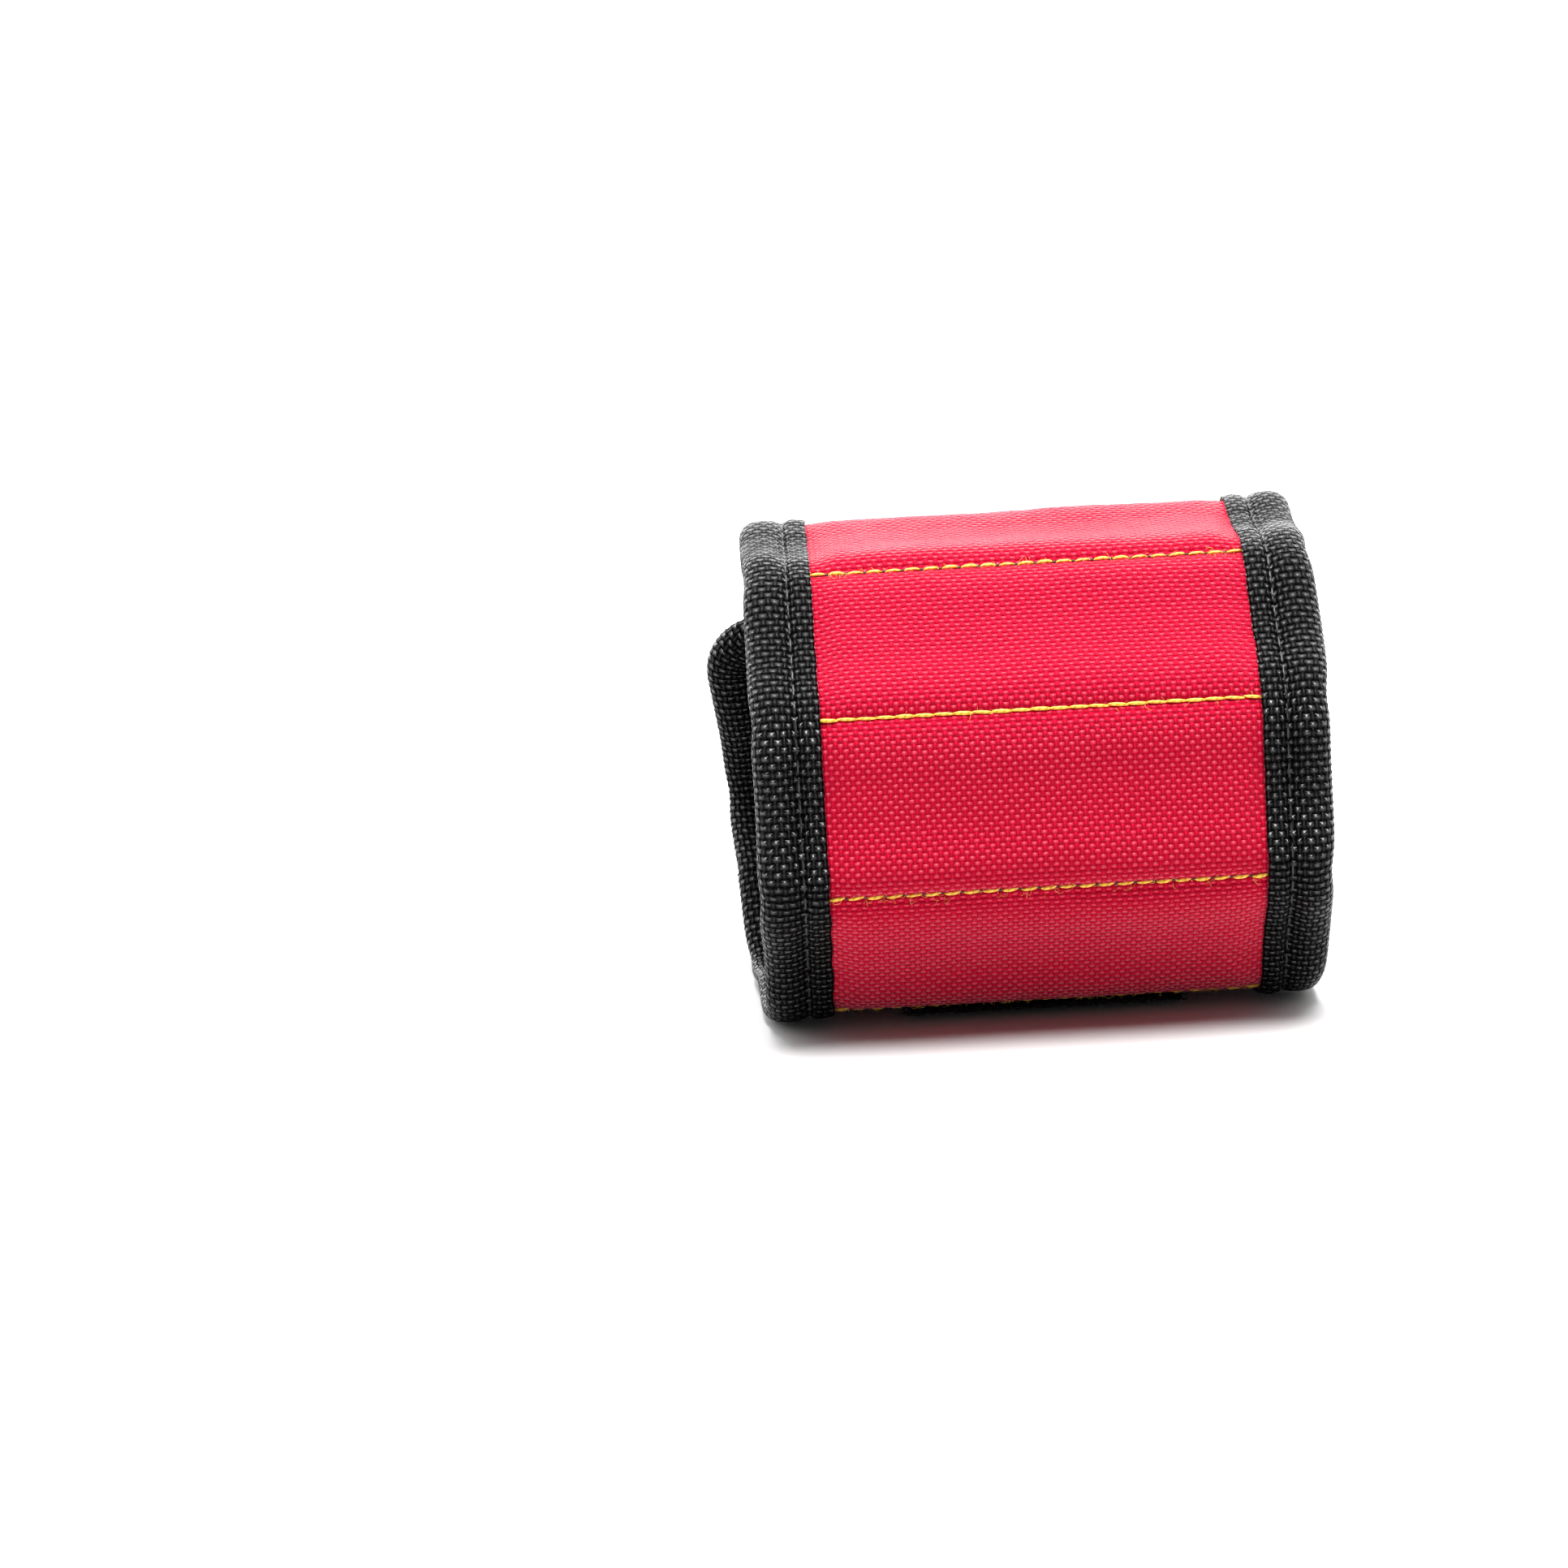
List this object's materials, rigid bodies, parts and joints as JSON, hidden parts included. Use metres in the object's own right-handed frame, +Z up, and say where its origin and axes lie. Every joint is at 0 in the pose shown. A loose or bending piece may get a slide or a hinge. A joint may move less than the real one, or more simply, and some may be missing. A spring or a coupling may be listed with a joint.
{
  "type": "magnetic wristband pin holder",
  "caption": "Wrist band with flat magnets sewn in padded cross channels to hold pins, needles and small metal parts, bound in woven tape and closed with hook-and-loop tape.",
  "frame": {"origin": "on the ground below the middle of the wrapped band", "axes": "+X along the opening for the arm, towards the elbow; -Y towards the front magnet channels; +Z up"},
  "size_m": [0.0964, 0.0774, 0.0762],
  "materials": {
    "cover_fabric": "woven oxford cloth, slight sheen",
    "lining_fabric": "knitted spacer mesh over thin foam",
    "binding_tape": "plain-woven webbing tape, slight gloss",
    "loop_tape": "napped loop pile",
    "hook_tape": "rows of moulded nylon hooks on woven tape",
    "seam_thread": "twisted polyester thread",
    "magnet_plating": "bright nickel plating"
  },
  "bodies": {
    "tail_root": {"binding_left_tail_root": "binding_tape", "binding_right_tail_root": "binding_tape", "channel_seam_1": "seam_thread", "cover_tail_root": "cover_fabric", "lining_tail_root": "lining_fabric", "loop_patch_tail_root": "loop_tape"},
    "channel_1": {"binding_left_channel_1": "binding_tape", "binding_right_channel_1": "binding_tape", "channel_seam_2": "seam_thread", "cover_channel_1": "cover_fabric", "lining_channel_1": "lining_fabric", "magnet_1_left": "magnet_plating", "magnet_1_right": "magnet_plating"},
    "channel_2": {"binding_left_channel_2": "binding_tape", "binding_right_channel_2": "binding_tape", "channel_seam_3": "seam_thread", "cover_channel_2": "cover_fabric", "lining_channel_2": "lining_fabric", "magnet_2_left": "magnet_plating", "magnet_2_right": "magnet_plating"},
    "channel_3": {"binding_left_channel_3": "binding_tape", "binding_right_channel_3": "binding_tape", "channel_seam_4": "seam_thread", "cover_channel_3": "cover_fabric", "lining_channel_3": "lining_fabric", "magnet_3_left": "magnet_plating", "magnet_3_right": "magnet_plating"},
    "channel_4": {"binding_left_channel_4": "binding_tape", "binding_right_channel_4": "binding_tape", "channel_seam_5": "seam_thread", "cover_channel_4": "cover_fabric", "lining_channel_4": "lining_fabric", "magnet_4_left": "magnet_plating", "magnet_4_right": "magnet_plating"},
    "channel_5": {"binding_left_channel_5": "binding_tape", "binding_right_channel_5": "binding_tape", "channel_seam_6": "seam_thread", "cover_channel_5": "cover_fabric", "lining_channel_5": "lining_fabric", "magnet_5_left": "magnet_plating", "magnet_5_right": "magnet_plating"},
    "closure_root": {"binding_left_closure_root": "binding_tape", "binding_right_closure_root": "binding_tape", "cover_closure_root": "cover_fabric", "hook_patch_closure_root": "hook_tape", "lining_closure_root": "lining_fabric"},
    "closure_tab": {"binding_closure_tab": "binding_tape", "cover_closure_tab": "cover_fabric", "hook_patch_closure_tab": "hook_tape", "lining_closure_tab": "lining_fabric"},
    "tail_mid": {"binding_left_tail_mid": "binding_tape", "binding_right_tail_mid": "binding_tape", "cover_tail_mid": "cover_fabric", "lining_tail_mid": "lining_fabric", "loop_patch_tail_mid": "loop_tape"},
    "tail_tip": {"binding_tail_tip": "binding_tape", "cover_tail_tip": "cover_fabric", "lining_tail_tip": "lining_fabric", "loop_patch_tail_tip": "loop_tape"}
  },
  "joints": [
    {"name": "band_unroll", "type": "hinge", "parent": "tail_root", "child": "channel_1", "pos_m": [0, -0.02066, 0.0015], "axis": [1, 0, 0], "range_deg": [0, 53.4]},
    {"name": "unroll_channel_2", "type": "hinge", "parent": "channel_1", "child": "channel_2", "pos_m": [0, -0.03765, 0.02438], "axis": [1, 0, 0], "range_deg": [0, 40.6]},
    {"name": "unroll_channel_3", "type": "hinge", "parent": "channel_2", "child": "channel_3", "pos_m": [0, -0.03566, 0.05281], "axis": [1, 0, 0], "range_deg": [0, 43.4]},
    {"name": "unroll_channel_4", "type": "hinge", "parent": "channel_3", "child": "channel_4", "pos_m": [0, -0.01469, 0.0721], "axis": [1, 0, 0], "range_deg": [0, 36.6]},
    {"name": "unroll_channel_5", "type": "hinge", "parent": "channel_4", "child": "channel_5", "pos_m": [0, 0.01366, 0.07508], "axis": [1, 0, 0], "range_deg": [0, 46]},
    {"name": "unroll_closure_root", "type": "hinge", "parent": "channel_5", "child": "closure_root", "pos_m": [0, 0.03549, 0.05676], "axis": [1, 0, 0], "range_deg": [0, 46]},
    {"name": "closure_peel", "type": "hinge", "parent": "closure_root", "child": "closure_tab", "pos_m": [0, 0.03765, 0.02584], "axis": [1, 0, 0], "range_deg": [0, 42]},
    {"name": "unroll_tail_mid", "type": "hinge", "parent": "tail_root", "child": "tail_mid", "pos_m": [0, 0.01134, 0.0015], "axis": [-1, 0, 0], "range_deg": [0, 54]},
    {"name": "unroll_tail_tip", "type": "hinge", "parent": "tail_mid", "child": "tail_tip", "pos_m": [0, 0.02956, 0.02658], "axis": [-1, 0, 0], "range_deg": [0, 52]}
  ],
  "couplings": [
    {"joint": "unroll_channel_2", "follows": "band_unroll", "ratio": 0.7603},
    {"joint": "unroll_channel_3", "follows": "band_unroll", "ratio": 0.81273},
    {"joint": "unroll_channel_4", "follows": "band_unroll", "ratio": 0.68539},
    {"joint": "unroll_channel_5", "follows": "band_unroll", "ratio": 0.86142},
    {"joint": "unroll_closure_root", "follows": "band_unroll", "ratio": 0.86142},
    {"joint": "unroll_tail_mid", "follows": "band_unroll", "ratio": 1.0112},
    {"joint": "unroll_tail_tip", "follows": "band_unroll", "ratio": 0.97378}
  ]
}
